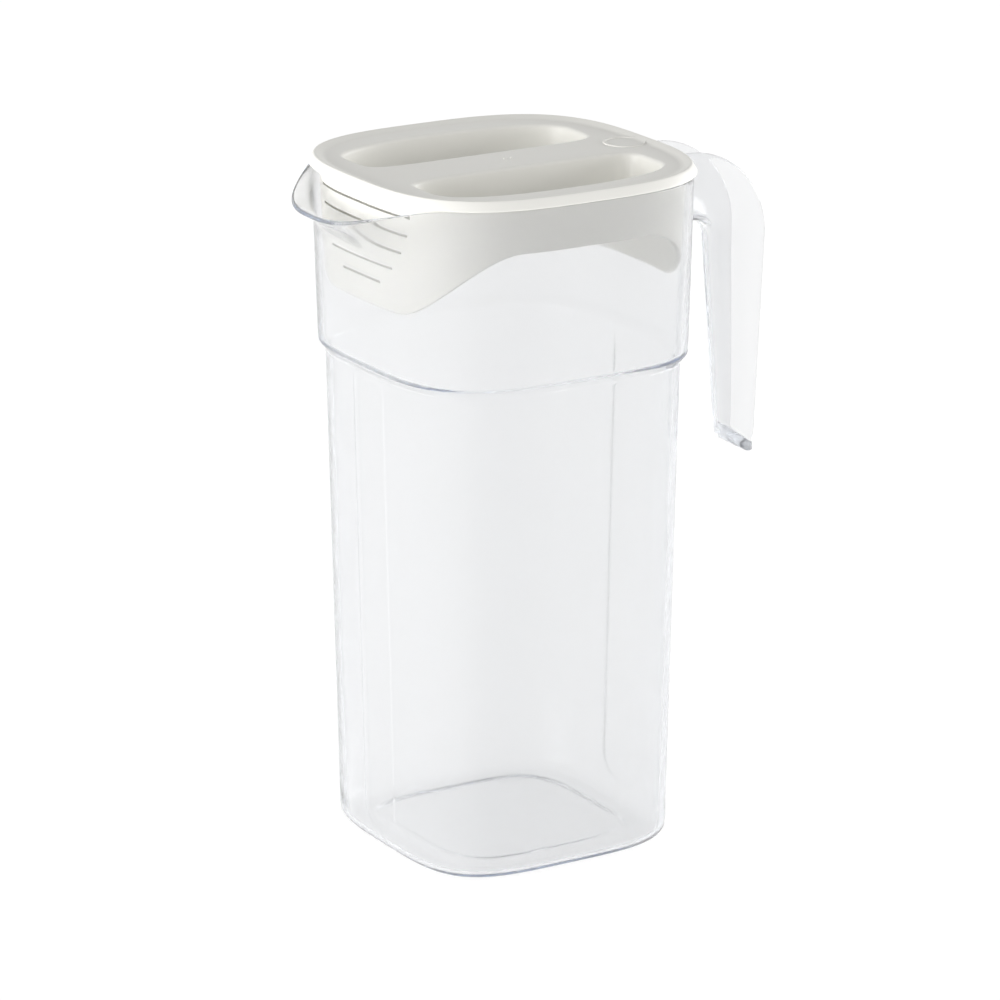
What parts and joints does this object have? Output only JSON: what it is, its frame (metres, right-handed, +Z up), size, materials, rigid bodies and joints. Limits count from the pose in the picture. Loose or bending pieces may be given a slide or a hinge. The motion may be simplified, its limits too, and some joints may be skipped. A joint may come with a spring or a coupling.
{
  "type": "plastic juice jug",
  "caption": "Clear tapered rounded-square plastic jug with a stepped collar, a flared pouring lip, a hanging channel handle and a white plug lid with finger wells.",
  "frame": {"origin": "on the surface that the jug stands on, under the middle of the whole outline", "axes": "+Z up, +X from the spout towards the handle, +Y across the jug"},
  "size_m": [0.1814, 0.1232, 0.2502],
  "materials": {
    "clear_plastic": "clear moulded polypropylene, glossy",
    "white_plastic": "white moulded polypropylene, satin"
  },
  "bodies": {
    "root": {"jug": "clear_plastic", "lid": "white_plastic"}
  },
  "joints": []
}
